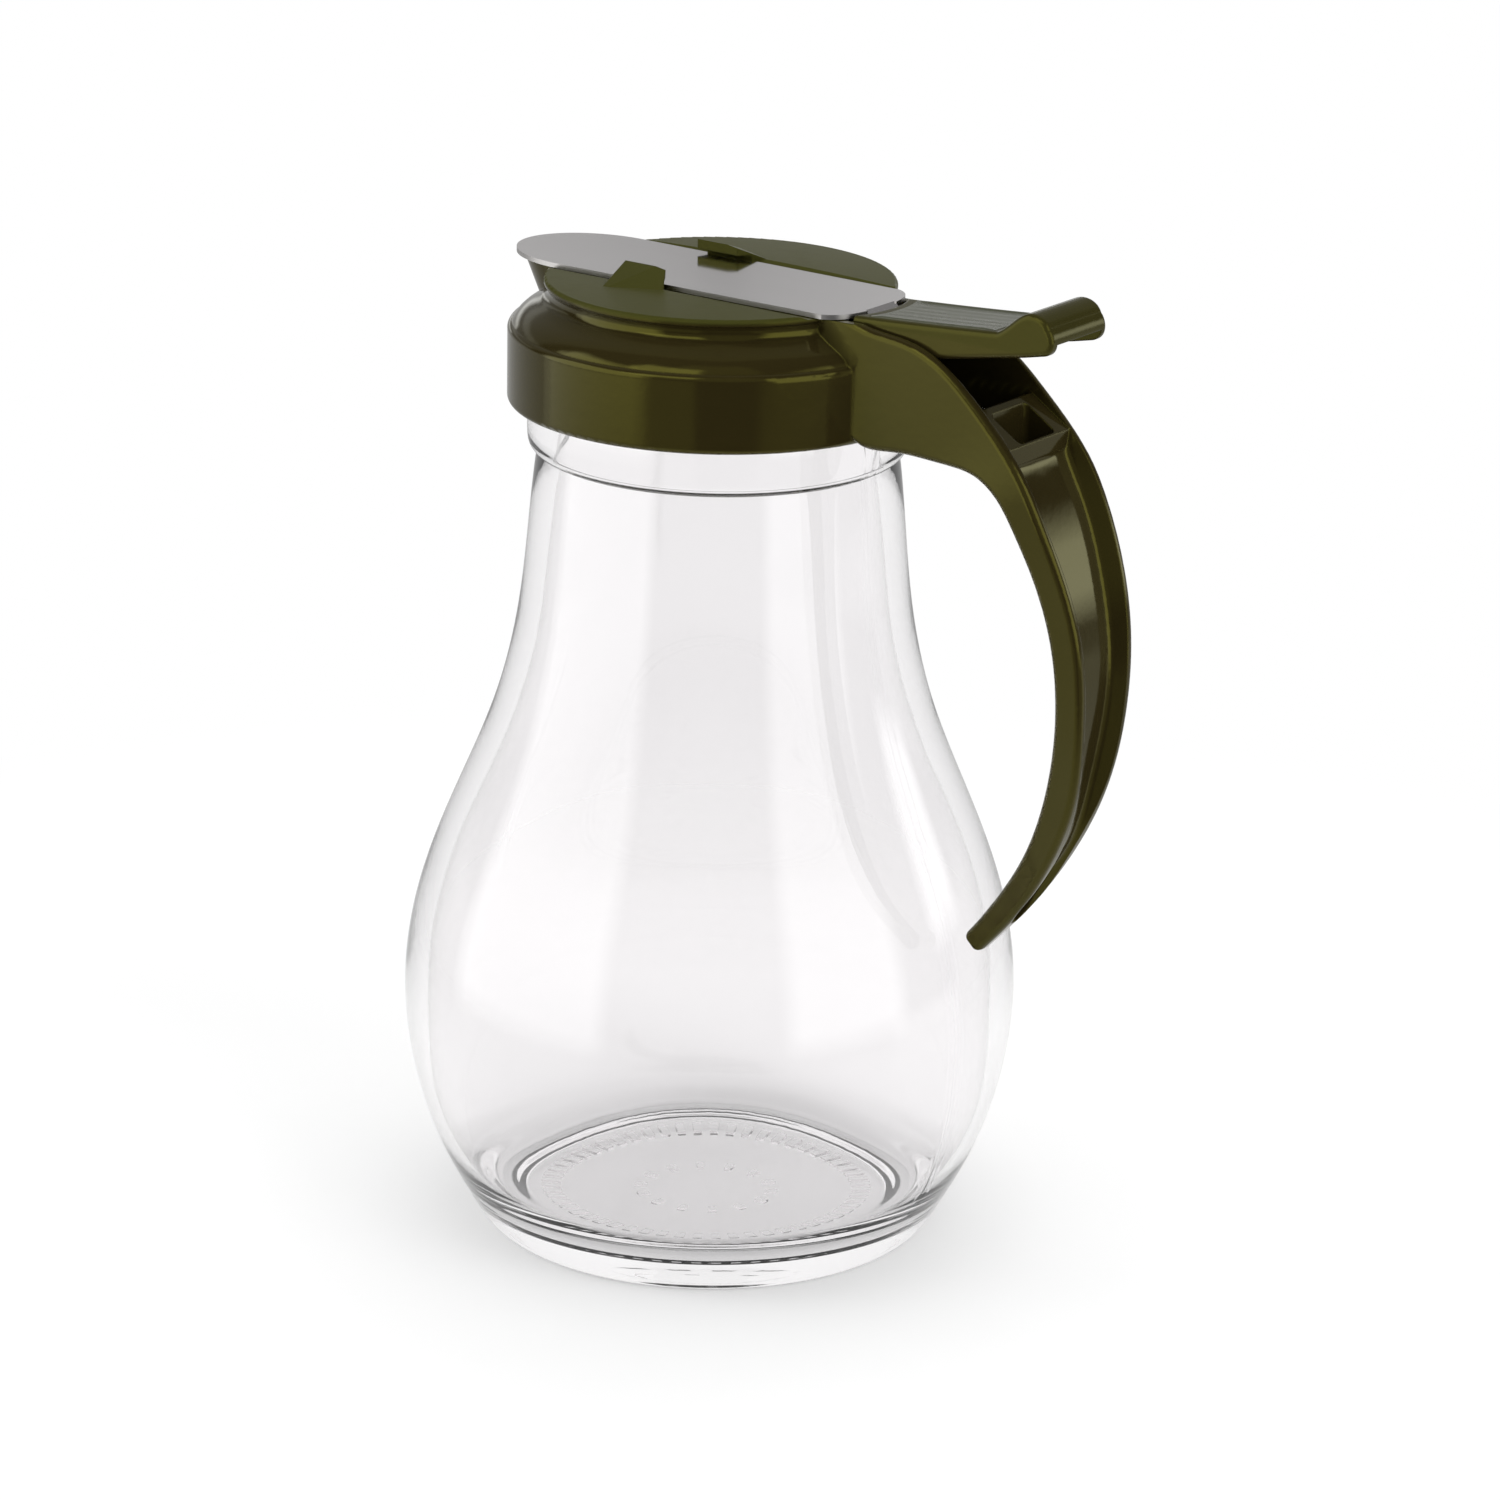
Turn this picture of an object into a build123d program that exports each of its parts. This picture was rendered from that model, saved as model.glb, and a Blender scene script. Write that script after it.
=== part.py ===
from build123d import *
import os

os.makedirs("parts", exist_ok=True)

# Frame: +Z up from the rest plane, origin at the centre of the jar's base,
# +X towards the handle, so the pouring lip points along -X. All sizes in mm.

# ---- how far a cut runs past the piece that it opens ----
PAST = 20.0

# ---- jar ----
RIM_TOP = 136.2
FINISH_R = 26.0
FINISH_WALL = 3.2
NECK_R = FINISH_R - FINISH_WALL
LIP_ROUND = 0.9
BEAD_R = FINISH_R + 1.7
BEAD_TOP = RIM_TOP - 11.0
BEAD_LOW = BEAD_TOP - 4.6
BOWL_TOP = BEAD_LOW - 2.4
CAVITY_TOP = BEAD_LOW - 1.6
HEEL_TOP = 4.0
HEEL_BULGE = (0.45, 1.3)
FOOT_OUT = 32.6
FOOT_IN = 30.4
FOOT_SLOPE = 1.6
PUSH_UP = 1.4
FLOOR_TOP = 5.0
# outline outside from the heel to the bead, and inside from the floor to the neck: (radius, height)
BOWL = [(35.9, 4.0), (38.8, 9.0), (41.9, 16.0), (44.5, 26.0), (45.45, 38.0), (43.5, 50.0), (39.4, 62.0),
        (34.35, 74.0), (30.35, 86.0), (FINISH_R + 2.4, 98.0), (FINISH_R + 1.15, 110.0),
        (FINISH_R + 0.2, 118.2)]
CAVITY = [(29.0, 5.0), (33.8, 7.2), (37.8, 13.2), (41.0, 24.0), (42.1, 36.0), (40.4, 49.0), (36.2, 61.0),
          (31.1, 73.0), (27.1, 85.0), (NECK_R + 2.3, 97.0), (NECK_R + 1.1, 109.0), (NECK_R + 0.2, 119.0)]

# ---- cap: radii follow the jar's finish, levels follow its bead and rim ----
THREAD_ROOM = 2.2
SKIRT_WALL = 2.4
SKIRT_ROUND = 0.8
BEAD_CLEAR = 0.2
BORE_R = FINISH_R + THREAD_ROOM
SKIRT_R = BORE_R + SKIRT_WALL
SKIRT_LOW = BEAD_TOP + BEAD_CLEAR
BORE_TOP = RIM_TOP - 1.0
STEP_R = SKIRT_R - 0.7
STEP_Z = RIM_TOP + 0.6
RECESS_Z = RIM_TOP + 6.8
SHOULDER_RUN = 4.5
DISC_R = STEP_R - SHOULDER_RUN
DISC_EDGE = 0.45
DOME_RISE = 0.8
RECESS_SLOPE = 2.2
COVE_DEPTH = 0.6
COVE_Z = RECESS_Z - 2.8
SHOULDER_SHARES = [(0.134, 0.235), (0.39, 0.515), (0.707, 0.75), (1, 1)]
CEILING_Z = RECESS_Z - 2.0
CEILING_R = NECK_R - 1.8
SEAT_IN = NECK_R
SEAT_LIP = 1.6
SEAL_THICK = 1.2
SEAL_GAP = 0.02
SEAL_INSET = 0.4
SEAT_OUT = FINISH_R + 1.0

# ---- plate ----
PLATE_GAP = 0.12
PLATE_THICK = 0.7
PLATE_HALF = 10.0
PLATE_HALF_REAR = PLATE_HALF - 0.5
LIP_TIP = -SKIRT_R - 3.1
TIP_X = LIP_TIP - 1.6
TIP_START = LIP_TIP + 11.7
REAR_X = SKIRT_R - 6.1
REAR_BULGE = REAR_X + 3.7
TONGUE_HALF = 3.5
TONGUE_END = SKIRT_R + 12.4
TONGUE_DROP = 1.27
BEND_START = REAR_BULGE - 0.4
BEND_RUN = 1.7
PEG_X = (SKIRT_R + 4.9, SKIRT_R + 9.9)
PEG_R = 1.15
PEG_HOLE_R = 1.3
SLIDE_GAP = 0.5

# ---- retaining hooks: (x, y), with y measured out from the plate's edge ----
HOOK_PLAN = [(-10.7, -1.4), (-9.0, 7.4), (-4.8, 5.4), (-0.4, 3.4), (-3.5, -1.4)]
HOOK_RIDGE = (-5.3, -1.4)
HOOK_RISE = 2.85
HOOK_FALL_ANGLE = 17.6
HOOK_REAR_SLOPE = (4.5, -11.0, 28.2)
HOOK_UNDER = 0.6

# ---- pouring lip ----
LIP_HALF = PLATE_HALF - 0.5
LIP_LOW_Z = RECESS_Z - 8.2
LIP_LOW_TIP = LIP_TIP + 4.3
LIP_LOW_HALF = LIP_HALF - 1.5
MOUTH_X = LIP_TIP + 9.3
MOUTH_LONG = 7.8
MOUTH_HALF = PLATE_HALF - 3.2
THROAT_X = MOUTH_X + 7.4
THROAT_LONG = 6.0
THROAT_HALF = MOUTH_HALF - 0.3

# ---- handle: stations from the cap to the tip, (out, drop) outside, (out, drop) inside, half width.
# Out is measured from the skirt, a drop down from the plate's way.
GRIP = [((-7.6, 0.15), (-7.6, 17.5), 8.5), ((0.4, 0.2), (0.4, 17.5), 8.5),
        ((8.2, 1.3), (6.2, 17.4), 8.5), ((14.6, 4.3), (10.9, 17.4), 8.6),
        ((20.2, 9.0), (15.2, 17.6), 8.7), ((24.6, 13.4), (19.4, 18.2), 8.85),
        ((28.2, 18.0), (23.3, 20.7), 9.0), ((31.0, 23.1), (26.3, 25.0), 8.9),
        ((33.4, 28.4), (28.9, 30.1), 8.45), ((36.7, 39.5), (32.0, 40.3), 7.3),
        ((37.2, 52.0), (32.7, 51.6), 6.35), ((35.2, 64.5), (30.5, 63.3), 4.75),
        ((29.9, 76.1), (26.2, 74.0), 3.2), ((23.1, 85.6), (20.1, 83.1), 1.75),
        ((19.8, 89.2), (17.2, 86.8), 1.4), ((17.1, 92.2), (14.5, 89.8), 1.3)]
GRIP_ROUND = 0.9
GRIP_WALL = 1.2
NOSE = [(-20.6, -20.0), (-20.6, 60.0), (17.5, 86.1), (15.6, 88.8), (18.0, 91.1), (21.2, 88.0), (59.4, 50.0),
        (59.4, -20.0)]
NOSE_ROUND = 1.2

# ---- trough along the handle's outer side: depth and flare of its walls at the stations before the tip ----
TROUGH_START = ((24.8, 13.7), (24.8, 20.0), 8.8)
TROUGH_START_DEPTH = 2.6
TROUGH_START_FLARE = 0.6
TROUGH = [(2.6, 1.2), (2.6, 1.4), (2.6, 1.5), (2.5, 1.5), (2.3, 1.4), (1.8, 1.2), (1.0, 0.7), (-0.3, 0.15)]
PLAIN_TIP_COUNT = 2
TROUGH_ROUND = 1.0

# ---- deep front of the channel, with the pocket block behind it ----
LEVER_HALF = 6.9
LEVER_SIDE_GAP = 0.4
CHANNEL_START = SKIRT_R - 6.6
CHANNEL_FLOOR = 15.9
CHANNEL_HALF = LEVER_HALF + LEVER_SIDE_GAP
BLOCK_FRONT = SKIRT_R + 18.3
BLOCK_REAR = BLOCK_FRONT + 6.5
BLOCK_DROPS = (9.6, 13.8)
POCKET_FRONT = BLOCK_FRONT + 1.0
POCKET_REAR = BLOCK_REAR - 0.3
POCKET_HALF = 4.45
POCKET_FLOOR = CHANNEL_FLOOR + 0.3
POCKET_ROUND = 0.8

# ---- thumb lever: outline as (out, rise), out from the skirt and up from the plate's way ----
LEVER_WALL = 1.4
LEVER_ROUND = 0.7
LEVER_FACE = SKIRT_R + 0.8
LEVER_FACE_THICK = 1.6
LEVER_FACE_HALF = 5.0
LEVER_FACE_DROP = CHANNEL_FLOOR - 0.7
LEVER_TOP = [(-2.4, 0.7), (9.4, 1.4), (21.4, 2.3)]
CREST = [(21.4, 2.3), (24.0, 4.2), (26.6, 5.7), (28.7, 5.4), (30.0, 4.0)]
REST_HEEL = [(30.7, 2.6), (30.6, 1.2), (29.3, 0.1)]
FLANK_LOW = [(26.1, -0.6), (0.8, -5.2), (0.4, -3.1), (-2.4, -2.7)]
ROOF_END = 13.6
REST_REAR = 29.5
REST_LIP = 1.8
REST_HOLLOW = [(14.8, 0.4), (21.7, 0.9), (24.8, 2.9), (26.8, 3.9), (28.4, 3.9), (REST_REAR, 2.9)]
SCOOP_R = 12.9
SCOOP_X = REAR_BULGE + 1.8 - SCOOP_R
TONGUE_CLEAR = 0.1
PEG_HEAD_R = 2.0
PEG_HEAD = 0.7

# ---- return spring, over a spigot at each end ----
SPRING_R = 2.0
WIRE_R = 0.225
WIRE_SIDES = 8
SPRING_TURNS = 9
SEAT_CLEAR = 0.1
FLOOR_CLEAR = 0.425
SPIGOT_R = SPRING_R - 0.6
SPIGOT_LONG = 2.0

PLATE_LOW = RECESS_Z + PLATE_GAP
PLATE_TOP = PLATE_LOW + PLATE_THICK
TONGUE_TOP = PLATE_TOP - TONGUE_DROP
TONGUE_LOW = TONGUE_TOP - PLATE_THICK
ROOF_Z = TONGUE_TOP + TONGUE_CLEAR
SEAT_Z = RIM_TOP + SEAL_THICK + 2 * SEAL_GAP
SPRING_Z = RECESS_Z - CHANNEL_FLOOR + FLOOR_CLEAR + WIRE_R + SPRING_R


def side_face(lines):
    """Closed face on the XZ plane from lines given as (x, z)."""
    return make_face(Plane.XZ * lines)


def extrude_both(face, half):
    return extrude(face, amount=half, both=True)


def prism(points, half):
    """Straight-sided body across Y from an outline given as (x, z)."""
    return extrude_both(side_face(Polyline(*points, close=True)), half)


def turned(lines):
    return revolve(side_face(lines), Axis.Z)


def lifted(points):
    """Points given as (out, rise), in the frame's own (x, z)."""
    return [(SKIRT_R + out, RECESS_Z + rise) for out, rise in points]


def lowered(points):
    """Points given as (out, drop), in the frame's own (x, z)."""
    return [(SKIRT_R + out, RECESS_Z - drop) for out, drop in points]


def fitted(outline, low, top):
    """The outline with its heights stretched to run from low to top."""
    first, last = outline[0][1], outline[-1][1]
    return [(radius, low + (height - first) * (top - low) / (last - first)) for radius, height in outline]


def glass_jar():
    """Bulb-shaped jar with a foot ring, a bead under the cap and a plain finish."""
    bowl = fitted(BOWL, HEEL_TOP, BOWL_TOP)
    cavity = fitted(CAVITY, FLOOR_TOP, CAVITY_TOP)
    heel_mid = ((FOOT_OUT + bowl[0][0]) / 2 + HEEL_BULGE[0], HEEL_BULGE[1])
    heel = ThreePointArc((FOOT_OUT, 0), heel_mid, bowl[0])
    body = Spline(*bowl)
    bead_low = ThreePointArc(bowl[-1], (BEAD_R - 0.4, BEAD_LOW - 1.4), (BEAD_R, BEAD_LOW))
    bead = Polyline((BEAD_R, BEAD_LOW), (BEAD_R, BEAD_TOP), (FINISH_R, BEAD_TOP + 1.2),
                    (FINISH_R, RIM_TOP - LIP_ROUND))
    mid = (FINISH_R + NECK_R) / 2
    rim_out = ThreePointArc((FINISH_R, RIM_TOP - LIP_ROUND), (FINISH_R - 0.26, RIM_TOP - 0.26),
                            (FINISH_R - LIP_ROUND, RIM_TOP))
    rim = Polyline((FINISH_R - LIP_ROUND, RIM_TOP), (mid - 0.3, RIM_TOP))
    rim_in = ThreePointArc((mid - 0.3, RIM_TOP), (NECK_R + 0.35, RIM_TOP - 0.4),
                           (NECK_R, RIM_TOP - 1.3))
    neck = Line((NECK_R, RIM_TOP - 1.3), cavity[-1])
    inside = Spline(*reversed(cavity))
    floor = Polyline(cavity[0], (0, FLOOR_TOP), (0, PUSH_UP), (FOOT_IN - FOOT_SLOPE, PUSH_UP))
    foot = Polyline((FOOT_IN - FOOT_SLOPE, PUSH_UP), (FOOT_IN, 0), (FOOT_OUT, 0))
    outline = Curve() + [heel, body, bead_low, bead, rim_out, rim, rim_in, neck, inside, floor, foot]
    return turned(outline)


def sealing_ring():
    ring = Cylinder(FINISH_R, SEAL_THICK) - Cylinder(NECK_R + SEAL_INSET, SEAL_THICK)
    return Pos(0, 0, RIM_TOP + SEAL_GAP + SEAL_THICK / 2) * ring


def cap_shell():
    """Turned outside of the cap: skirt, S-shaped shoulder, cove and domed disc."""
    low = SKIRT_LOW + SKIRT_ROUND
    inset = SKIRT_R - SKIRT_ROUND
    rim = Polyline((0, SKIRT_LOW), (inset, SKIRT_LOW))
    bulge = 0.3 * SKIRT_ROUND
    rim_round = ThreePointArc((inset, SKIRT_LOW), (SKIRT_R - bulge, SKIRT_LOW + bulge), (SKIRT_R, low))
    wall = Line((SKIRT_R, low), (SKIRT_R, STEP_Z - 1.0))
    step = ThreePointArc((SKIRT_R, STEP_Z - 1.0), (SKIRT_R - 0.22, STEP_Z - 0.28), (STEP_R, STEP_Z))
    run = STEP_R - DISC_R - 0.3
    rise = COVE_Z - STEP_Z
    shoulder = [(STEP_R, STEP_Z)] + [(STEP_R - a * run, STEP_Z + b * rise) for a, b in SHOULDER_SHARES]
    edge_z = RECESS_Z + DISC_EDGE
    edge_low = (DISC_R, edge_z - 0.85)
    cove = ThreePointArc(shoulder[-1], (DISC_R - COVE_DEPTH, COVE_Z + 1.15), edge_low)
    edge_high = (DISC_R, edge_z - 0.45)
    edge = Line(edge_low, edge_high)
    edge_round = ThreePointArc(edge_high, (DISC_R - 0.16, edge_z - 0.12), (DISC_R - 0.6, edge_z))
    top = RECESS_Z + DOME_RISE
    dome = ThreePointArc((DISC_R - 0.6, edge_z), (DISC_R / 2, top - 0.1), (0, top))
    axis = Line((0, top), (0, SKIRT_LOW))
    outline = Curve() + [rim, rim_round, wall, step, Spline(*shoulder), cove, edge, edge_round, dome, axis]
    return turned(outline)


def cap_void():
    """Inside of the cap: thread bore, seal seat and the shallow chamber under the disc."""
    pts = [(0, SKIRT_LOW - 1), (BORE_R + 0.5, SKIRT_LOW - 1), (BORE_R + 0.5, SKIRT_LOW),
           (BORE_R, SKIRT_LOW + 0.6), (BORE_R, BORE_TOP), (SEAT_OUT, SEAT_Z), (SEAT_IN, SEAT_Z),
           (SEAT_IN, SEAT_Z + SEAT_LIP), (CEILING_R, CEILING_Z), (0, CEILING_Z)]
    return turned(Polyline(*pts, close=True))


def oval(x, z, long, half):
    return Pos(x, 0, z) * Ellipse(long, half)


def pouring_lip():
    """Flared cup that carries the mouth out under the plate's tip."""
    back = TIP_START
    top = oval(back, RECESS_Z, back - LIP_TIP, LIP_HALF)
    low = oval(back, LIP_LOW_Z, back - LIP_LOW_TIP, LIP_LOW_HALF)
    return loft([low, top])


def pouring_mouth():
    """Slanted opening from the chamber under the disc to the lip."""
    top = oval(MOUTH_X, RECESS_Z + 0.05, MOUTH_LONG, MOUTH_HALF)
    low = oval(THROAT_X, CEILING_Z - 0.4, THROAT_LONG, THROAT_HALF)
    return loft([low, top])


def plate_recess():
    """Shallow way along X that the plate lies in, with sloping edges."""
    half = PLATE_HALF + SLIDE_GAP
    rise = 1.0
    wide = half + RECESS_SLOPE
    low = RECESS_Z + rise
    high = RECESS_Z + PAST
    outline = Polyline((-half, RECESS_Z), (half, RECESS_Z), (wide, low), (wide, high), (-wide, high),
                       (-wide, low), close=True)
    face = make_face(Plane.YZ * outline)
    length = 2 * SKIRT_R + PAST
    return Pos(-length / 2, 0, 0) * extrude(face, amount=length, dir=(1, 0, 0))


def hook():
    """Retaining hook on the -Y side: roof falling outwards, ridge over the plate's edge."""
    plan = Polyline(*[(x, -PLATE_HALF - y) for x, y in HOOK_PLAN], close=True)
    block = extrude(Pos(0, 0, RECESS_Z - 1) * make_face(plan), amount=6)
    ridge = (HOOK_RIDGE[0], -PLATE_HALF - HOOK_RIDGE[1], RECESS_Z + HOOK_RISE)
    above = Pos(0, 0, PAST / 2) * Box(3 * PAST, 3 * PAST, PAST)
    roof = Pos(*ridge) * Rot(HOOK_FALL_ANGLE, 0, 0) * above
    rear = Plane(origin=ridge, z_dir=HOOK_REAR_SLOPE) * above
    reach = PLATE_HALF + SLIDE_GAP
    under = PLATE_THICK + PLATE_GAP + HOOK_UNDER
    slot = Pos(0, 0, RECESS_Z + under - PAST / 2) * Box(3 * PAST, 2 * reach, PAST)
    return block - roof - rear - slot


def grip_plane(station):
    """Plane square to the handle at a station: its X is across, its Y points outwards."""
    (outer_x, outer_z), (inner_x, inner_z) = lowered(station[:2])
    outer = Vector(outer_x, 0, outer_z)
    inner = Vector(inner_x, 0, inner_z)
    across = Vector(0, 1, 0)
    return Plane(origin=outer, x_dir=across, z_dir=across.cross(outer - inner)), (outer - inner).length


def grip_section(station):
    plane, thick = grip_plane(station)
    width = 2 * station[2]
    corner = min(GRIP_ROUND, 0.4 * min(width, thick))
    return plane * Pos(0, -thick / 2) * RectangleRounded(width, thick, corner)


def trough_section(station, depth, flare):
    """Open-topped section of the trough, its walls leaning outwards, its floor corners rounded."""
    plane, _ = grip_plane(station)
    top = station[2] - GRIP_WALL
    low = top - flare
    mouth = top + flare / 2
    face = make_face(Polyline((-mouth, 2), (-low, -depth), (low, -depth), (mouth, 2), close=True))
    corners = face.vertices().sort_by(Axis.Y)[:2]
    return plane * fillet(corners, min(TROUGH_ROUND, 0.45 * low))


def grip():
    """Channel handle: a lofted bar with a deep front, a pocket block and a shallow trough to its tip."""
    bar = loft([grip_section(station) for station in GRIP])
    nose = side_face(Polyline(*lowered(NOSE), close=True))
    tips = nose.vertices().sort_by(Axis.Z)[:2]
    bar = bar & extrude_both(fillet(tips, NOSE_ROUND), PAST)
    sections = [trough_section(TROUGH_START, TROUGH_START_DEPTH, TROUGH_START_FLARE)]
    hollow = GRIP[-PLAIN_TIP_COUNT - len(TROUGH):-PLAIN_TIP_COUNT]
    sections += [trough_section(station, depth, flare) for station, (depth, flare) in zip(hollow, TROUGH)]
    bar = bar - loft(sections)
    floor_z = RECESS_Z - CHANNEL_FLOOR
    open_z = RECESS_Z + PAST
    channel = prism([(CHANNEL_START, floor_z), (CHANNEL_START, open_z), (BLOCK_FRONT, open_z),
                     (BLOCK_FRONT, floor_z)], CHANNEL_HALF)
    front_z, rear_z = [RECESS_Z - drop for drop in BLOCK_DROPS]
    ahead = BLOCK_FRONT - 1
    over = prism([(BLOCK_FRONT, front_z), (ahead, front_z), (ahead, open_z), (BLOCK_REAR, open_z),
                  (BLOCK_REAR, rear_z)], CHANNEL_HALF)
    pocket_plan = RectangleRounded(POCKET_REAR - POCKET_FRONT, 2 * POCKET_HALF, POCKET_ROUND)
    pocket_x = (POCKET_FRONT + POCKET_REAR) / 2
    pocket = extrude(Pos(pocket_x, 0, RECESS_Z - POCKET_FLOOR) * pocket_plan, amount=PAST)
    spigot = Pos(BLOCK_FRONT, 0, SPRING_Z) * Rot(0, -90, 0) * Cylinder(
        SPIGOT_R, SPIGOT_LONG, align=(Align.CENTER, Align.CENTER, Align.MIN))
    return bar - channel - over - pocket + spigot


def cap_body():
    """One moulding: screw cap, pouring lip, hooks and the channel handle."""
    body = cap_shell() + pouring_lip() + grip()
    body = body - plate_recess()
    near = hook()
    body = body + near + mirror(near, about=Plane.XZ)
    return body - cap_void() - pouring_mouth()


def plate_outline():
    tip = Pos(TIP_START, 0) * Ellipse(TIP_START - TIP_X, PLATE_HALF)
    sides = Polyline((REAR_X, PLATE_HALF_REAR), (TIP_START, PLATE_HALF), (TIP_START, -PLATE_HALF),
                     (REAR_X, -PLATE_HALF_REAR))
    corner_x = REAR_BULGE - 1.6
    corner_y = PLATE_HALF_REAR - 1.5
    middle_y = TONGUE_HALF + 0.1
    rear = Spline((REAR_X, PLATE_HALF_REAR), (corner_x, corner_y), (REAR_BULGE, middle_y),
                  (REAR_BULGE, -middle_y), (corner_x, -corner_y), (REAR_X, -PLATE_HALF_REAR))
    return tip + make_face(Curve() + [sides, rear])


def cutoff_slide():
    """Thin plate that closes the mouth, with a joggled tongue held under the lever's roof."""
    plate = extrude(Pos(0, 0, PLATE_LOW) * plate_outline(), amount=PLATE_THICK)
    bend = BEND_START + BEND_RUN
    tongue = prism([(BEND_START - 4, PLATE_LOW), (BEND_START - 4, PLATE_TOP), (BEND_START, PLATE_TOP),
                    (bend, TONGUE_TOP), (TONGUE_END, TONGUE_TOP), (TONGUE_END, TONGUE_LOW),
                    (bend - 0.35, TONGUE_LOW), (BEND_START - 0.35, PLATE_LOW)], TONGUE_HALF)
    trim = Pos(BEND_START + 2, 0, PLATE_LOW) * Box(4, 2 * TONGUE_HALF, 10)
    body = (plate - trim) + tongue
    for x in PEG_X:
        body = body - Pos(x, 0, TONGUE_TOP) * Cylinder(PEG_HOLE_R, 6)
    return body


def lever_side():
    top = Spline(*lifted(LEVER_TOP))
    crest = Spline(*lifted(CREST))
    heel = Spline(*lifted([CREST[-1]] + REST_HEEL))
    low = Polyline(*lifted([REST_HEEL[-1]] + FLANK_LOW + [LEVER_TOP[0]]))
    return side_face(Curve() + [top, crest, heel, low])


def lever_hollow():
    """Space between the lever's skirts, open below, its roof rising into the thumb rest."""
    roof = ROOF_Z - RECESS_Z
    deep = roof - PAST
    points = [(-PAST, deep), (-PAST, roof), (ROOF_END, roof)]
    points += REST_HOLLOW + [(REST_REAR, REST_LIP), (REST_REAR + PAST, REST_LIP), (REST_REAR + PAST, deep)]
    return prism(lifted(points), LEVER_HALF - LEVER_WALL)


def thumb_lever():
    """Hollow lever with a raised thumb rest, a front wall for the spring and two pegs."""
    bar = extrude_both(lever_side(), LEVER_HALF)
    upper = [edge for edge in bar.edges() if abs(edge.center().Y) > LEVER_HALF - 0.1
             and edge.center().Z > RECESS_Z + LEVER_ROUND]
    body = fillet(upper, LEVER_ROUND) - lever_hollow()
    low = RECESS_Z - LEVER_FACE_DROP
    height = ROOF_Z + 0.6 - low
    middle = LEVER_FACE + LEVER_FACE_THICK / 2
    wall = Pos(middle, 0, low + height / 2) * Box(LEVER_FACE_THICK, 2 * LEVER_FACE_HALF, height)
    web = Pos(middle, 0, RECESS_Z - 2.2) * Box(LEVER_FACE_THICK, 2 * LEVER_HALF - 1, 4.6)
    spigot = Pos(LEVER_FACE + LEVER_FACE_THICK, 0, SPRING_Z) * Rot(0, 90, 0) * Cylinder(
        SPIGOT_R, SPIGOT_LONG, align=(Align.CENTER, Align.CENTER, Align.MIN))
    body = body + wall + web + spigot
    slot_low = TONGUE_LOW - TONGUE_CLEAR
    slot = Pos(LEVER_FACE, 0, (slot_low + ROOF_Z) / 2) * Box(8, 2 * TONGUE_HALF + 0.3, ROOF_Z - slot_low)
    scoop = Pos(SCOOP_X, 0, RECESS_Z) * Cylinder(SCOOP_R, PAST)
    body = body - slot - scoop
    for x in PEG_X:
        peg_low = slot_low - PEG_HEAD
        peg_top = ROOF_Z + 0.4
        peg = Pos(x, 0, (peg_top + peg_low) / 2) * Cylinder(PEG_R, peg_top - peg_low)
        head = Pos(x, 0, slot_low - PEG_HEAD / 2) * Cylinder(PEG_HEAD_R, PEG_HEAD)
        body = body + peg + head
    return body


def coil_gap(path, length):
    """Least gap between the coil's own turns, measured on points along its wire."""
    steps = 16 * SPRING_TURNS
    points = [path @ (k / steps) for k in range(steps + 1)]
    least = length
    for k, point in enumerate(points):
        for other in points[k + 8:k + 25]:
            least = min(least, (point - other).length)
    return least - 2 * WIRE_R


def return_spring():
    """Compression spring between the lever's front wall and the block in the handle."""
    front = LEVER_FACE + LEVER_FACE_THICK + SEAT_CLEAR + WIRE_R
    rear = BLOCK_FRONT - SEAT_CLEAR - WIRE_R
    length = rear - front
    path = Helix(length / SPRING_TURNS, length, SPRING_R)
    section = Plane(origin=path @ 0, z_dir=path % 0) * RegularPolygon(WIRE_R, WIRE_SIDES)
    print("spring: least gap between turns", round(coil_gap(path, length), 2))
    return Pos(front, 0, SPRING_Z) * Rot(0, 90, 0) * sweep(section, path)


def main():
    pieces = {
        "glass_jar": glass_jar(),
        "sealing_ring": sealing_ring(),
        "cap_body": cap_body(),
        "cutoff_slide": cutoff_slide(),
        "thumb_lever": thumb_lever(),
        "return_spring": return_spring(),
    }
    for name, piece in pieces.items():
        solids = piece.solids()
        print(name, len(solids), round(piece.volume, 1), piece.is_valid)
        export_step(solids[0] if len(solids) == 1 else piece, f"parts/{name}.step")


main()
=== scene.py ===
import math

import bmesh
import bpy
from mathutils import Matrix, Vector


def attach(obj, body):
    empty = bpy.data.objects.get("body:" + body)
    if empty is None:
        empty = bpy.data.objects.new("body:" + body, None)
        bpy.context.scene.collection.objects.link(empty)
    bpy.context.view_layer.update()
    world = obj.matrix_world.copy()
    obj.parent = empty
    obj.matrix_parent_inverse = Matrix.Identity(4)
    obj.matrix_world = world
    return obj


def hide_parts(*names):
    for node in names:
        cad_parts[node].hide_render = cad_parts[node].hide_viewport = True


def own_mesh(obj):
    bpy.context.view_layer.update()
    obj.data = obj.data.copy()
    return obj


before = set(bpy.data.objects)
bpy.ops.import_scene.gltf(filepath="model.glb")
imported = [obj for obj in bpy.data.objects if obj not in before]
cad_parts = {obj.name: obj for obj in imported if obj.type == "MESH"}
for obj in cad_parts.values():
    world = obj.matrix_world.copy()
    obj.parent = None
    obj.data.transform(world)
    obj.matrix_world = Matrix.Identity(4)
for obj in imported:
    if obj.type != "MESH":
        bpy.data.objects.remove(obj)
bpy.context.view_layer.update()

MM = 0.001

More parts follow.
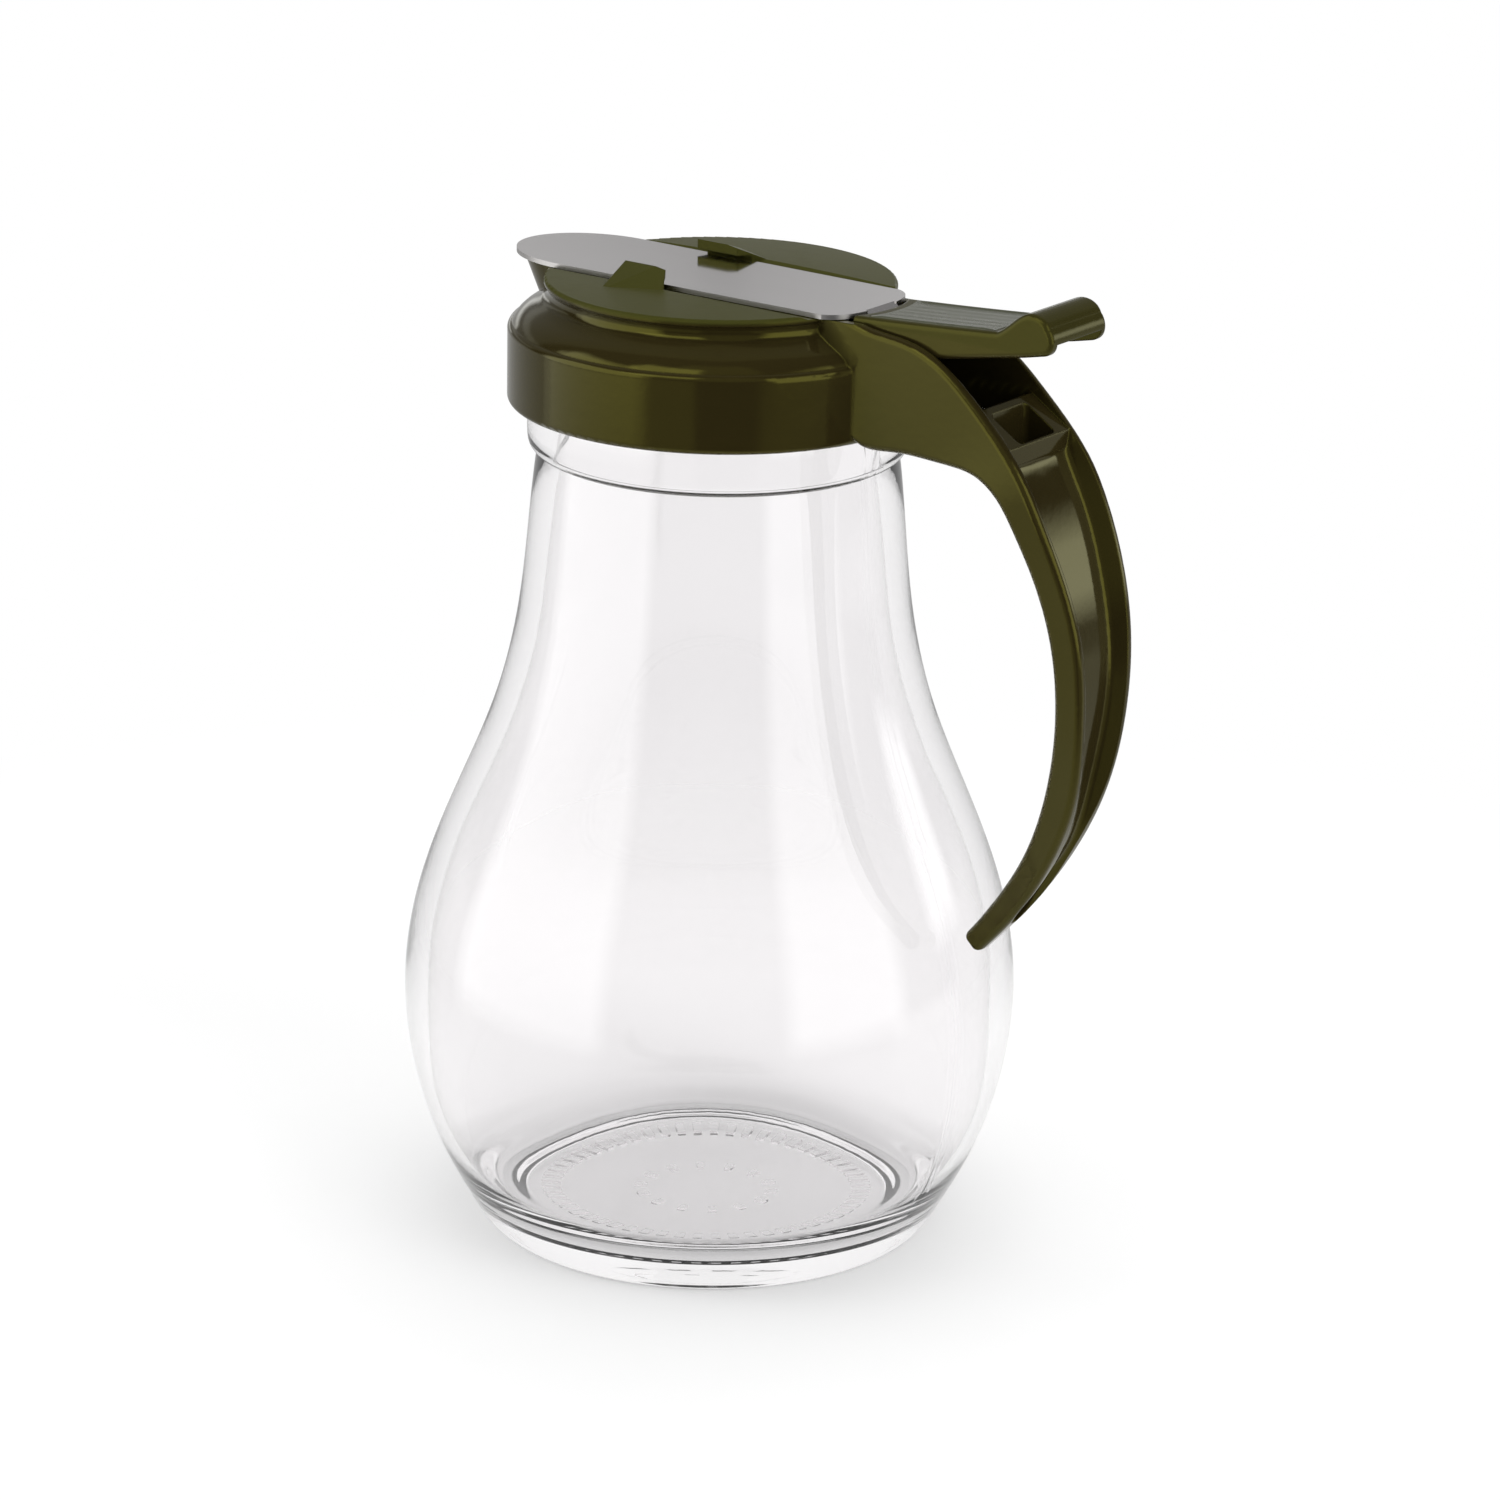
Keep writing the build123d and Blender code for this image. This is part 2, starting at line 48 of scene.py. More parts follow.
# The jar's section as runs of (radius, height) in mm.
# A curve is drawn towards its inner points, a line goes through all of them.
JAR_OUTSIDE = [
    ("curve", [(32.6, 0.0), (33.3, 0.0), (34.5, 1.3), (36.6, 5.1), (40.5, 12.0), (44.3, 22.8),
               (46.1, 36.5), (43.8, 51.1), (38.1, 65.3), (31.8, 79.4), (28.5, 94.2), (27.4, 107.5),
               (26.6, 116.0), (26.2, 118.2)]),
    ("curve", [(26.2, 118.2), (27.4, 118.8), (27.7, 120.2), (27.7, 122.7), (27.7, 125.6), (27.3, 126.4),
               (26.0, 126.4)]),
    ("line", [(26.0, 126.4), (26.0, 135.3)]),
    ("curve", [(26.0, 135.3), (26.0, 136.0), (25.8, 136.2), (25.1, 136.2)]),
    ("line", [(25.1, 136.2), (24.1, 136.2)]),
]
JAR_INSIDE = [
    ("curve", [(24.1, 136.2), (23.1, 136.2), (22.8, 135.9), (22.8, 134.9)]),
    ("curve", [(22.8, 134.9), (22.7, 129.4), (23.0, 118.6), (24.3, 103.9), (26.0, 87.8), (30.7, 72.9),
               (37.6, 58.7), (42.3, 43.4), (42.1, 27.1), (38.8, 12.9), (33.2, 5.0), (25.0, 5.0)]),
    ("line", [(25.0, 5.0), (0.0, 5.0)]),
]
JAR_UNDERSIDE = [
    ("line", [(0.0, 1.4), (9.0, 1.4), (10.8, 1.4), (22.0, 1.4), (25.0, 1.4), (26.4, 1.4)]),
    ("curve", [(26.4, 1.4), (28.4, 1.4), (29.4, 0.0), (30.8, 0.0)]),
    ("line", [(30.8, 0.0), (32.6, 0.0)]),
]

# How fine the jar is: mesh points for each span of its curves, and steps round its axis.
JAR_FINENESS = 7
JAR_STEPS = 224

# Pressed marks under the jar: (inner radius, outer radius, faces in a mark, faces from mark to mark).
# The radii are corners of JAR_UNDERSIDE, which lies below UNDERSIDE_BELOW where the marks are.
BASE_MARKS = [(22.0, 25.0, 2, 4), (9.0, 10.8, 4, 16)]
BASE_MARK_RISE = 0.45
UNDERSIDE_BELOW = 2.0

# Screw ridges, right-handed: (radius of the wall, reach of the ridge, first height, turns), in mm.
# Steps are for one turn.
THREAD_PITCH = 4.2
JAR_THREAD = (26.0, 1.3, 127.9, 1.4)
CAP_THREAD = (28.2, -1.3, 126.9, 1.5)
RIDGE_HALF = 0.9
RIDGE_SIDES = 10
RIDGE_STEPS = 72

# The coil in the handle, in mm. At the end of the lever's pull it keeps a share of its length.
SPRING_RADIUS = 2.0
SPRING_WIRE = 0.225
SPRING_TURNS = 9
SPRING_REAR = (48.9, 0.0, 129.75)
SPRING_LONG = 15.7
WIRE_SIDES = 12
WIRE_STEPS = 32

# The lever's top line as (x, height), in mm, and the panel of ribs on it, between rims along its sides.
# The panel starts along an arc, given by its centre's x and its radius. Its cells are counted along and
# across. The ribs and rims fade in and out over one part in PANEL_FADE of its length.
LEVER_TOP = [(28.2, 143.7), (40.0, 144.4), (52.0, 145.3)]
PANEL_ARC = (17.1, 14.3)
PANEL_END = 51.2
PANEL_HALF = 5.9
PANEL_CELLS = (40, 120)
PANEL_LIFT = 0.03
PANEL_DEPTH = 0.5
PANEL_FADE = 12
RIB_PITCH = 1.9
RIB_RISE = 0.014
RIM_FROM = 5.1
RIM_RISE = 0.18

# The olive moulding turns satin, with a paler painted sheen, over these heights, and less so on the lever,
# past these radii.
# Its edges look rounded by EDGE_RADIUS. All in mm.
SATIN_SHEEN_HEIGHTS = (142.7, 143.1)
SATIN_SHEEN_RADII = (25.6, 26.2)
SATIN_SHEEN_ON_LEVER = 0.4
EDGE_RADIUS = 0.35

# The mould seam of the glass lies in the plane of the handle and starts between these heights, in mm.
# SEAM_HALF is half its width, and SEAM_WANDER the width over which it strays.
SEAM_HALF = 0.8
SEAM_WANDER = 1.2
SEAM_HEIGHTS = (8, 16)

# What the glass lets through to the floor: more in the bowl than in the thick foot,
# which lies past these radii and below these heights, in mm.
BOWL_CLEARNESS = 0.94
FOOT_CLEARNESS = 0.68
FOOT_RADII = (29, 33)
FOOT_HEIGHTS = (3, 12)

# The photograph's view. VIEW_SHIFT_PX is how far VIEW_AIM stands off the middle of the photo, in its pixels.
# The azimuth is in degrees from the front of the object, the rise and the lean are in radians.
PHOTO_PX = 1500
VIEW_FOCAL_PX = 5668.3
VIEW_SHIFT_PX = (36.67, -13.20)
VIEW_AIM = Vector((0, 0, 0.070))
VIEW_DISTANCE = 835.8 * MM
VIEW_AZIMUTH = 36.5
VIEW_RISE = 0.3267
VIEW_LEAN = -0.0166
FILM_WIDTH = 36

# The lamps as (place, width, height, watts), in metres. They face the middle of the object.
LAMP_AIM = (0, 0, 0.08)
LAMPS = {
    "lamp_left": ((-0.9, -0.7, 0.75), 0.7, 0.9, 8.0),
    "lamp_right": ((0.95, -0.1, 0.7), 0.5, 0.9, 5.0),
    "lamp_top": ((0.0, 0.25, 1.2), 0.8, 0.8, 4.0),
}

# The room's light where it isn't looked at, and the floor: its paint, its own glow where it is looked at,
# the distances over which it fades into the white room, and its radius, in metres.
ROOM_LIGHT = 0.40
FLOOR_PAINT = 0.85
FLOOR_LIFT = 0.215
FLOOR_FADE = (0.10, 0.24)
FLOOR_RADIUS = 1.6

# The studio walls: what the gloss sees, as turn from the view and rise, in degrees:
# (turn from, to, rise from, to, softness of the edges, brightness). Between the panels is a faint light.
WALLS_RADIUS = 2.5
GAP_LIGHT = 0.03
WALL_PANELS = {
    "table_left": (-106, -43, -91, -9, 4.0, 0.90),
    "table_middle": (-43, -13, -91, -7, 2.0, 0.34),
    "table_right": (72, 106, -91, -7, 2.0, 1.00),
    "table_front_right": (22, 72, -91, -10, 3.0, 0.30),
    "panel_left": (-106, -40, -10, 46, 4.0, 2.5),
    "panel_right": (30, 76, -8, 46, 4.0, 2.5),
    "panel_high": (-62, -14, 38, 62, 3.0, 2.4),
    "panel_side": (96, 113, 3, 16, 3.0, 3.0),
    "front": (-38, 30, 8, 75, 4.0, 0.30),
}

# Panels that stand at both sides of the view, behind the object: their turn is to either side.
PAIRED_PANELS = {
    "table_back": (106, 181, -91, 3, 2.0, 0.50),
    "back": (122, 181, 3, 91, 4.0, 0.20),
    "back_low": (150, 181, 4, 10, 2.0, 1.20),
    "back_glow": (122, 181, 15.5, 22, 1.5, 0.26),
}


# ---- finishes -------------------------------------------------------------------------------


def colour(red, green, blue):
    """A solid colour for a socket."""
    return (red, green, blue, 1.0)


def grey(share):
    """A solid grey for a socket, from black at 0 to white at 1."""
    return colour(share, share, share)


WHITE = grey(1.0)
OLIVE_SHEEN = colour(1.0, 0.95, 0.16)


class Wire:
    """A number or colour in a finish, so that a finish reads as a sum."""

    def __init__(self, finish, socket):
        self.finish = finish
        self.socket = socket

    def __add__(self, other):
        return self.finish.math("ADD", self, other)

    def __radd__(self, other):
        return self.finish.math("ADD", other, self)

    def __sub__(self, other):
        return self.finish.math("SUBTRACT", self, other)

    def __rsub__(self, other):
        return self.finish.math("SUBTRACT", other, self)

    def __mul__(self, other):
        return self.finish.math("MULTIPLY", self, other)

    def __rmul__(self, other):
        return self.finish.math("MULTIPLY", other, self)


class Finish:
    """A material under construction, or the room's own light."""

    def __init__(self, name, kept_in=None):
        self.material = (bpy.data.materials if kept_in is None else kept_in).new(name)
        self.material.use_nodes = True
        self.tree = self.material.node_tree
        self.tree.nodes.clear()
        self.place = self.node("ShaderNodeTexCoord", {}, {}, "Object")

    def node(self, kind, settings, inputs, output=0):
        """One shader node: its settings, its sockets, and the output that it stands for."""
        made = self.tree.nodes.new(kind)
        for name, value in settings.items():
            setattr(made, name, value)
        for name, value in inputs.items():
            socket = made.inputs[name]
            if isinstance(value, Wire):
                self.tree.links.new(value.socket, socket)
            else:
                socket.default_value = value
        return Wire(self, made.outputs[output])

    def math(self, operation, *values):
        return self.node("ShaderNodeMath", {"operation": operation}, dict(enumerate(values)))

    def part(self, vector, axis):
        """A vector's share along X, Y or Z."""
        return self.node("ShaderNodeSeparateXYZ", {}, {"Vector": vector}, axis)

    def length(self, vector):
        return self.node("ShaderNodeVectorMath", {"operation": "LENGTH"}, {0: vector}, "Value")

    def scaled(self, x, y, z):
        """The place on the object, stretched along the axes."""
        return self.node("ShaderNodeMapping", {}, {"Vector": self.place, "Scale": (x, y, z)})

    def from_axis(self):
        """Distance from the jar's axis."""
        return self.length(self.scaled(1.0, 1.0, 0.0))

    def noise(self, scale, detail=2.0, roughness=0.5, vector=None):
        return self.node("ShaderNodeTexNoise", {"noise_dimensions": "3D"},
                         {"Vector": vector or self.place, "Scale": scale, "Detail": detail,
                          "Roughness": roughness})

    def ramp(self, value, low, high):
        """0 at low, 1 at high, held beyond them."""
        return self.node("ShaderNodeMapRange", {"clamp": True},
                         {"Value": value, "From Min": low, "From Max": high, "To Min": 0.0, "To Max": 1.0})

    def ramp_mm(self, length, low, high):
        """0 at low, 1 at high, held beyond them, with both in mm."""
        return self.ramp(length, low * MM, high * MM)

    def band(self, value, low, high, soft):
        """1 between low and high, 0 outside, with soft edges."""
        rise = self.ramp(value, low - soft, low + soft)
        return rise * (1.0 - self.ramp(value, high - soft, high + soft))

    def blend(self, share, first, second):
        """First colour at 0, second at 1."""
        return self.node("ShaderNodeMix", {"data_type": "RGBA"}, {0: share, 6: first, 7: second}, 2)

    def bump(self, height, depth, normal=None):
        """A normal that rises by depth, in mm, where height is 1."""
        inputs = {"Height": height, "Distance": depth * MM, "Strength": 1.0}
        if normal is not None:
            inputs["Normal"] = normal
        return self.node("ShaderNodeBump", {}, inputs)

    def light_path(self, fact):
        return self.node("ShaderNodeLightPath", {}, {}, fact)

    def looked_at(self):
        """1 where the eye sees it, straight, through glass or in a gloss, and 0 where it only lights."""
        seen = self.light_path("Is Camera Ray") + self.light_path("Is Transmission Ray")
        seen = self.ramp(seen + self.light_path("Is Glossy Ray"), 0.0, 1.0)
        return seen * (1.0 - self.ramp(self.light_path("Diffuse Depth"), 0.0, 1.0))

    def surface(self, inputs):
        return self.node("ShaderNodeBsdfPrincipled", {}, inputs)

    def glow(self, strength):
        return self.node("ShaderNodeEmission", {}, {"Color": WHITE, "Strength": strength})

    def clear(self, share):
        """A surface that lets a share of the light straight through."""
        return self.node("ShaderNodeBsdfTransparent", {}, {"Color": grey(share)})

    def mixed(self, share, first, second):
        """First surface at 0, second at 1."""
        return self.node("ShaderNodeMixShader", {}, {0: share, 1: first, 2: second})

    def finish(self, surface, out_kind="ShaderNodeOutputMaterial"):
        out = self.tree.nodes.new(out_kind)
        self.tree.links.new(surface.socket, out.inputs["Surface"])
        return self.material


def olive_plastic():
    """Glossy olive-brown moulding with faint flow marks and rounded edges, satin with a painted sheen on the
    cap's top.
    """
    f = Finish("olive_moulding")
    flow = f.noise(38.0, 3.0, 0.55, f.scaled(1.0, 1.0, 2.4))
    fine = f.noise(900.0)
    scuff = f.ramp(f.noise(150.0, 4.0, 0.6), 0.52, 0.8)
    satin_sheen_share = 1.0 - (1.0 - SATIN_SHEEN_ON_LEVER) * f.ramp_mm(f.from_axis(), *SATIN_SHEEN_RADII)
    satin_sheen_on_top = f.ramp_mm(f.part(f.place, "Z"), *SATIN_SHEEN_HEIGHTS) * satin_sheen_share
    rounded = f.node("ShaderNodeBevel", {"samples": 6}, {"Radius": EDGE_RADIUS * MM})
    normal = f.bump(fine * 0.6 + flow * 0.4, 0.01, rounded)
    gloss = f.surface({
        "Base Color": f.blend(flow, colour(0.022, 0.0165, 0.0050), colour(0.029, 0.0225, 0.0068)),
        "Roughness": 0.07 + 0.03 * flow + 0.05 * scuff, "Specular IOR Level": 0.36,
        "Specular Tint": OLIVE_SHEEN, "Normal": normal})
    # On the cap's top: satin roughness, and a paler base colour that is a painted sheen.
    satin_painted_sheen = f.surface({
        "Base Color": f.blend(flow, colour(0.046, 0.046, 0.0100), colour(0.053, 0.053, 0.0115)),
        "Roughness": 0.26 + 0.06 * flow + 0.05 * scuff, "Specular IOR Level": 0.06,
        "Specular Tint": OLIVE_SHEEN, "Normal": normal})
    return f.finish(f.mixed(satin_sheen_on_top, gloss, satin_painted_sheen))


def sheen_painted_olive():
    """The same moulding, duller, with a paler base colour in patches that is a painted sheen."""
    f = Finish("moulding_painted_sheen")
    # Paler base colour in patches along the lever's top: a painted sheen.
    painted_sheen_patches = f.noise(90.0, 4.0, 0.6, f.scaled(0.35, 1.0, 1.0))
    fine = f.noise(900.0)
    return f.finish(f.surface({
        "Base Color": f.blend(painted_sheen_patches, colour(0.050, 0.052, 0.030), colour(0.086, 0.090, 0.064)),
        "Roughness": 0.20 + 0.14 * painted_sheen_patches, "Specular IOR Level": 0.40,
        "Specular Tint": colour(1.0, 1.0, 0.8), "Normal": f.bump(fine, 0.01)}))


def bright_steel():
    """Rolled stainless sheet with fine lines along its length and duller sheared edges."""
    f = Finish("rolled_stainless")
    lines = f.noise(1.0, 4.0, 0.6, f.scaled(60.0, 2600.0, 900.0))
    cloud = f.noise(70.0, 3.0)
    upright = f.part(f.node("ShaderNodeNewGeometry", {}, {}, "True Normal"), "Z")
    edge = 1.0 - f.ramp(upright * upright, 0.2, 0.8)
    sheet = f.blend(cloud, colour(0.86, 0.83, 0.825), colour(0.92, 0.89, 0.885))
    return f.finish(f.surface({
        "Base Color": f.blend(edge, sheet, colour(0.40, 0.39, 0.38)), "Metallic": 1.0,
        "Roughness": 0.07 + 0.05 * lines + 0.04 * cloud + 0.25 * edge, "Normal": f.bump(lines, 0.0015)}))


def spring_steel():
    """Drawn wire with a fine grain."""
    f = Finish("drawn_wire")
    grain = f.noise(1500.0, 2.0, 0.6)
    return f.finish(f.surface({
        "Base Color": f.blend(grain, colour(0.42, 0.42, 0.43), colour(0.62, 0.61, 0.60)), "Metallic": 1.0,
        "Roughness": 0.24 + 0.12 * grain, "Normal": f.bump(grain, 0.003)}))


def seal_rubber():
    """Off-white soft ring with a matt skin."""
    f = Finish("soft_seal")
    skin = f.noise(420.0, 4.0, 0.6)
    return f.finish(f.surface({
        "Base Color": f.blend(skin, colour(0.50, 0.48, 0.42), colour(0.62, 0.60, 0.54)),
        "Roughness": 0.55 + 0.2 * skin, "Normal": f.bump(skin, 0.02)}))


def pressed_glass():
    """Clear pressed glass, faintly uneven with a mould seam, painted darker on edge for dark reflections,
    that lets lamps through.
    """
    f = Finish("pressed_glass")
    waves = f.noise(26.0, 2.0, 0.5, f.scaled(1.0, 1.0, 0.45))
    skin = f.noise(240.0)
    uneven = f.bump(waves * 0.94 + skin * 0.06, 0.08)
    height = f.part(f.place, "Z")
    aside = f.part(f.place, "Y") + SEAM_WANDER * MM * (f.noise(60.0, 3.0) - 0.5)
    seam = (1.0 - f.ramp(aside * aside, 0.0, (SEAM_HALF * MM) ** 2)) * f.ramp_mm(height, *SEAM_HEIGHTS)
    # Darker base colour where the glass is seen edge-on, weaker near the foot: painted dark reflections.
    facing = f.node("ShaderNodeLayerWeight", {}, {"Blend": 0.5}, "Facing")
    edge = f.ramp(facing, 0.62, 1.0) * (0.25 + 0.75 * f.ramp_mm(height, 4, 14))
    clear = f.blend(waves, colour(0.935, 0.925, 0.930), colour(0.950, 0.940, 0.945))
    glass = f.surface({
        "Base Color": f.blend(edge * edge, clear, colour(0.30, 0.30, 0.29)), "Roughness": 0.0, "IOR": 1.5,
        "Transmission Weight": 1.0, "Normal": f.bump(seam, 0.025, uneven)})
    at_foot = f.ramp_mm(f.from_axis(), *FOOT_RADII) * (1.0 - f.ramp_mm(height, *FOOT_HEIGHTS))
    shadow = f.mixed(at_foot, f.clear(BOWL_CLEARNESS), f.clear(FOOT_CLEARNESS))
    return f.finish(f.mixed(f.light_path("Is Shadow Ray"), glass, shadow))


# ---- shapes ---------------------------------------------------------------------------------


def in_scene(name, data):
    """A new object in the scene."""
    made = bpy.data.objects.new(name, data)
    bpy.context.scene.collection.objects.link(made)
    return made


def as_mesh(name, bm, material):
    """Turns a bmesh into a mesh of one material."""
    mesh = bpy.data.meshes.new(name)
    bm.to_mesh(mesh)
    bm.free()
    mesh.materials.append(material)
    return mesh


def finished_piece(name, bm, material, body, smooth_deg=35.0):
    """Turns a bmesh into a piece that rides on a body."""
    bmesh.ops.recalc_face_normals(bm, faces=bm.faces)
    mesh = as_mesh(name, bm, material)
    mesh.shade_smooth()
    mesh.set_sharp_from_angle(angle=math.radians(smooth_deg))
    piece = in_scene(name, mesh)
    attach(piece, body)
    return piece


def section_line(runs, fineness):
    """The runs of a section as a mesh in the XZ plane, in metres."""
    curve = bpy.data.curves.new("section", "CURVE")
    curve.dimensions = "3D"
    curve.resolution_u = fineness
    for kind, points in runs:
        spline = curve.splines.new("NURBS" if kind == "curve" else "POLY")
        spline.points.add(len(points) - 1)
        for knot, (radius, height) in zip(spline.points, points):
            knot.co = (radius * MM, 0.0, height * MM, 1.0)
        if kind == "curve":
            spline.order_u = 4
            spline.use_endpoint_u = True
    holder = in_scene("section", curve)
    bpy.context.view_layer.update()
    mesh = bpy.data.meshes.new_from_object(holder)
    bpy.data.objects.remove(holder)
    bpy.data.curves.remove(curve)
    return mesh


def turned(bm, steps):
    """Spins the line in bm once round the Z axis and closes it."""
    bmesh.ops.spin(bm, geom=bm.verts[:] + bm.edges[:], cent=(0, 0, 0), axis=(0, 0, 1), angle=2 * math.pi,
                   steps=steps, use_merge=True, use_duplicate=False)
    bmesh.ops.remove_doubles(bm, verts=bm.verts, dist=0.00001)


def wound(bm, sides, centre, axis, climb, turns, steps):
    """Winds the ring in bm round an axis while it climbs, and caps both ends."""
    bmesh.ops.spin(bm, geom=bm.verts[:] + bm.edges[:], cent=centre, axis=axis,
                   dvec=Vector(axis) * (climb / steps), angle=2 * math.pi * turns, steps=steps,
                   use_merge=False, use_duplicate=False)
    bmesh.ops.holes_fill(bm, edges=bm.edges, sides=sides)


def drawn_out(bm, faces, vector):
    """Extrudes some faces of bm along a vector."""
    raised = bmesh.ops.extrude_face_region(bm, geom=faces)
    moved = [item for item in raised["geom"] if isinstance(item, bmesh.types.BMVert)]
    bmesh.ops.translate(bm, verts=moved, vec=vector)


def jar_marks(bm):
    """Raises evenly spaced marks on the underside, in rings."""
    for inner, outer, wide, every in BASE_MARKS:
        marked = []
        for face in bm.faces:
            centre = face.calc_center_median()
            radius = math.hypot(centre.x, centre.y) / MM
            step = int((math.atan2(centre.y, centre.x) / (2 * math.pi) + 1) * JAR_STEPS)
            if inner < radius < outer and centre.z < UNDERSIDE_BELOW * MM and step % every < wide:
                marked.append(face)
        drawn_out(bm, marked, (0, 0, -BASE_MARK_RISE * MM))
        bmesh.ops.delete(bm, geom=marked, context="FACES")


def jar_glass(material):
    """The jar with its marks, turned finer than the solid."""
    bm = bmesh.new()
    bm.from_mesh(section_line(JAR_OUTSIDE + JAR_INSIDE + JAR_UNDERSIDE, JAR_FINENESS))
    bmesh.ops.remove_doubles(bm, verts=bm.verts, dist=0.00001)
    turned(bm, JAR_STEPS)
    jar_marks(bm)
    piece = finished_piece("jar_glass", bm, material, "jar", 50.0)
    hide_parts("glass_jar")


def screw_ridge(name, wall, reach, low, turns, material, body, slot):
    """A rounded ridge that climbs round the Z axis."""
    bm = bmesh.new()
    bmesh.ops.create_circle(bm, cap_ends=False, segments=RIDGE_SIDES, radius=1.0,
                            matrix=Matrix.Translation(Vector((wall, 0, low)) * MM)
                            @ Matrix.Rotation(math.pi / 2, 4, "X")
                            @ Matrix.Diagonal((abs(reach) * MM, RIDGE_HALF * MM, 1, 1)))
    wound(bm, RIDGE_SIDES, (0, 0, 0), (0, 0, 1), THREAD_PITCH * turns * MM, turns, int(RIDGE_STEPS * turns))
    finished_piece(name, bm, material, body)


def spring_coil(material):
    """The coil behind the lever's front wall, closed up as the lever is pulled."""
    x, y, z = SPRING_REAR
    front = (x - SPRING_LONG + SPRING_WIRE) * MM
    bm = bmesh.new()
    bmesh.ops.create_circle(bm, cap_ends=False, segments=WIRE_SIDES, radius=SPRING_WIRE * MM,
                            matrix=Matrix.Translation((front, y * MM, (z + SPRING_RADIUS) * MM))
                            @ Matrix.Rotation(math.pi / 2, 4, "X"))
    wound(bm, WIRE_SIDES, (front, y * MM, z * MM), (1, 0, 0), (SPRING_LONG - 2 * SPRING_WIRE) * MM,
          SPRING_TURNS, WIRE_STEPS * SPRING_TURNS)
    piece = finished_piece("spring_coil", bm, material, "cap")
    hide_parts("return_spring")
    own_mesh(piece)


def lever_height(x):
    """Height of the lever's top line at x, in mm: a curve through its three points."""
    (xa, za), (xb, zb), (xc, zc) = LEVER_TOP
    first = (zb - za) / (xb - xa)
    second = ((zc - zb) / (xc - xb) - first) / (xc - xa)
    return za + first * (x - xa) + second * (x - xa) * (x - xb)


def panel_rise(y, share):
    """How far the ribs and rims stand up at y, in mm, at a share of the panel's length."""
    if abs(y) > RIM_FROM:
        rise = RIM_RISE * math.sin(math.pi * (abs(y) - RIM_FROM) / (PANEL_HALF - RIM_FROM))
    else:
        rise = RIB_RISE * math.sin(math.pi * y / RIB_PITCH) ** 2
    return rise * min(1.0, PANEL_FADE * share, PANEL_FADE * (1 - share))


def lever_ribs(material):
    """Fine ribs between two raised rims, along the lever's top from the plate to the thumb rest."""
    arc_centre, arc_radius = PANEL_ARC
    bm = bmesh.new()
    bmesh.ops.create_grid(bm, x_segments=PANEL_CELLS[0], y_segments=PANEL_CELLS[1], size=1.0)
    for v in bm.verts:
        y = PANEL_HALF * v.co.y
        start = arc_centre + math.sqrt(arc_radius ** 2 - y ** 2)
        share = (v.co.x + 1) / 2
        x = start + (PANEL_END - start) * share
        v.co = Vector((x, y, lever_height(x) + PANEL_LIFT + panel_rise(y, share))) * MM
    drawn_out(bm, bm.faces[:], (0, 0, -PANEL_DEPTH * MM))
    finished_piece("lever_ribs", bm, material, "slide", 60.0)


# ---- stage ----------------------------------------------------------------------------------


def camera():
    """The photograph's own view, from a fit to the jar's outline."""
    azimuth = math.radians(VIEW_AZIMUTH)
    back = Vector((math.sin(azimuth) * math.cos(VIEW_RISE), -math.cos(azimuth) * math.cos(VIEW_RISE),
                   math.sin(VIEW_RISE)))
    right = Vector((0, 0, 1)).cross(back).normalized()
    look = Matrix((right, back.cross(right), back))
    pan = Matrix.Rotation(math.atan(VIEW_SHIFT_PX[0] / VIEW_FOCAL_PX), 3, "Y")
    tilt = Matrix.Rotation(math.atan(VIEW_SHIFT_PX[1] / VIEW_FOCAL_PX), 3, "X")
    lean = Matrix.Rotation(VIEW_LEAN, 3, "Z")
    turn = (lean @ tilt @ pan @ look).transposed().to_4x4()
    data = bpy.data.cameras.new("view")
    data.lens = VIEW_FOCAL_PX / PHOTO_PX * FILM_WIDTH
    data.sensor_width = FILM_WIDTH
    data.clip_start = 0.01
    holder = in_scene("view", data)
    holder.matrix_world = Matrix.Translation(VIEW_AIM + back * VIEW_DISTANCE) @ turn
    bpy.context.scene.camera = holder


def soft_lamp(name, place, width, height, watts):
    """A lamp that lights the object and the floor, and shows in no gloss and through no glass."""
    data = bpy.data.lights.new(name, "AREA")
    data.shape = "RECTANGLE"
    data.size, data.size_y = width, height
    data.energy = watts
    lamp = in_scene(name, data)
    lamp.location = place
    lamp.rotation_euler = (Vector(LAMP_AIM) - Vector(place)).to_track_quat("-Z", "Y").to_euler()
    lamp.visible_camera = lamp.visible_glossy = lamp.visible_transmission = False


def room():
    """White room: the background is white where it is seen, plainer where it only lights."""
    f = Finish("room", bpy.data.worlds)
    strength = ROOM_LIGHT + (1.0 - ROOM_LIGHT) * f.looked_at()
    light = f.node("ShaderNodeBackground", {}, {"Color": WHITE, "Strength": strength})
    bpy.context.scene.world = f.finish(light, "ShaderNodeOutputWorld")


def wall_paint():
    """The light of the panels and of the gaps between them."""
    f = Finish("studio_walls")
    way = f.node("ShaderNodeVectorMath", {"operation": "NORMALIZE"}, {0: f.place})
    turn = f.math("ARCTAN2", f.part(way, "X"), -1.0 * f.part(way, "Y")) * math.degrees(1)
    rise = f.math("ARCSINE", f.part(way, "Z")) * math.degrees(1)
    light = GAP_LIGHT
    for side, panels in ((turn, WALL_PANELS), (f.math("ABSOLUTE", turn), PAIRED_PANELS)):
        for start, end, low, high, soft, strength in panels.values():
            light = light + strength * (f.band(side, start, end, soft) * f.band(rise, low, high, soft))
    material = f.finish(f.glow(light))
    material.cycles.emission_sampling = "NONE"
    return material


